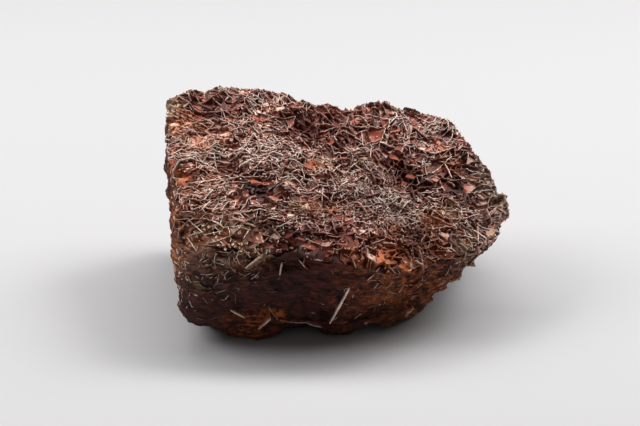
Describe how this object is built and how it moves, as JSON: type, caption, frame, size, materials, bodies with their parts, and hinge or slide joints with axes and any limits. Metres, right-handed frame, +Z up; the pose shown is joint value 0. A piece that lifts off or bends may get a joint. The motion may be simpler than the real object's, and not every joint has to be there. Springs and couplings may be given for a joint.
{
  "type": "mineral specimen",
  "caption": "Broken block of iron-stained barite boxwork: a crust of thin crossing crystal blades on a sloping top, a fresh dark front face, and a base worn flat where it rests.",
  "frame": {"origin": "on the resting plane, under the middle of the stone's bounding box", "axes": "+X to the pointed end, along the longest extent; -Y to the fresh dark front face; +Z up"},
  "size_m": [0.1647, 0.1171, 0.0876],
  "materials": {
    "iron_stained_barite": "rough"
  },
  "bodies": {
    "root": {"barite_rock": "iron_stained_barite"}
  },
  "joints": []
}
